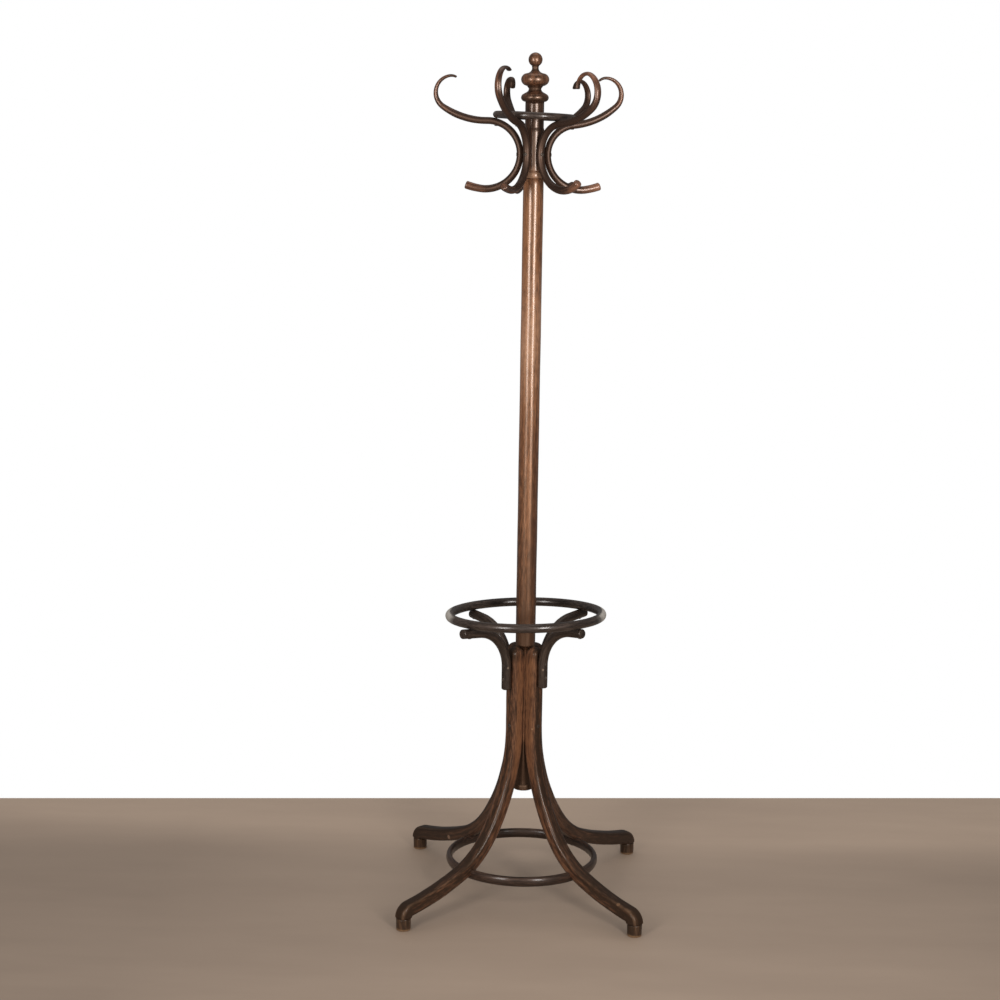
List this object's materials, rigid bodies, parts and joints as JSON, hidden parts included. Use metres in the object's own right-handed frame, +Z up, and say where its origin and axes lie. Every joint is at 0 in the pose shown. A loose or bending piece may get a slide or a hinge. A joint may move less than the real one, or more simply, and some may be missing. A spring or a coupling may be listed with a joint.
{
  "type": "coat rack",
  "caption": "Free-standing bentwood coat rack: a turned pole on bent legs, with an umbrella ring, a base ring and a revolving crown of S-shaped hooks under a turned finial.",
  "frame": {"origin": "on the floor, under the middle of the pole", "axes": "+Z up along the pole, +X to the right and -Y to the front, with the feet on the diagonals"},
  "size_m": [0.5738, 0.5738, 2],
  "materials": {
    "pole_wood": "aged reddish-brown French polish over turned beech, worn lighter on the edges",
    "dark_wood": "dark brown polish over bent beech, glossy along the rounded edges and rubbed grey in places",
    "hook_wood": "brown polish over bent beech, worn lighter where coats and hats hang",
    "foot_wood": "brown polish over turned beech, worn light at the floor",
    "steel": "darkened steel, dull with age"
  },
  "bodies": {
    "stand": {"pole": "pole_wood", "pivot_pin": "steel", "base_ring": "dark_wood", "umbrella_ring": "dark_wood", "leg_back_right": "dark_wood", "foot_back_right": "foot_wood", "bracket_back_right": "dark_wood", "leg_screw_back_right": "steel", "base_ring_screw_back_right": "steel", "bracket_lower_screw_back_right": "steel", "bracket_upper_screw_back_right": "steel", "umbrella_ring_screw_back_right": "steel", "leg_back_left": "dark_wood", "foot_back_left": "foot_wood", "bracket_back_left": "dark_wood", "leg_screw_back_left": "steel", "base_ring_screw_back_left": "steel", "bracket_lower_screw_back_left": "steel", "bracket_upper_screw_back_left": "steel", "umbrella_ring_screw_back_left": "steel", "leg_front_left": "dark_wood", "foot_front_left": "foot_wood", "bracket_front_left": "dark_wood", "leg_screw_front_left": "steel", "base_ring_screw_front_left": "steel", "bracket_lower_screw_front_left": "steel", "bracket_upper_screw_front_left": "steel", "umbrella_ring_screw_front_left": "steel", "leg_front_right": "dark_wood", "foot_front_right": "foot_wood", "bracket_front_right": "dark_wood", "leg_screw_front_right": "steel", "base_ring_screw_front_right": "steel", "bracket_lower_screw_front_right": "steel", "bracket_upper_screw_front_right": "steel", "umbrella_ring_screw_front_right": "steel"},
    "crown": {"crown_hub": "pole_wood", "finial": "pole_wood", "crown_ring": "dark_wood", "hook_1": "hook_wood", "hook_screw_1": "steel", "crown_ring_screw_1": "steel", "hook_2": "hook_wood", "hook_screw_2": "steel", "crown_ring_screw_2": "steel", "hook_3": "hook_wood", "hook_screw_3": "steel", "crown_ring_screw_3": "steel", "hook_4": "hook_wood", "hook_screw_4": "steel", "crown_ring_screw_4": "steel", "hook_5": "hook_wood", "hook_screw_5": "steel", "crown_ring_screw_5": "steel", "hook_6": "hook_wood", "hook_screw_6": "steel", "crown_ring_screw_6": "steel"}
  },
  "joints": [
    {"name": "crown_spin", "type": "hinge", "parent": "stand", "child": "crown", "pos_m": [0, 0, 1.718], "axis": [0, 0, 1], "continuous": true}
  ]
}
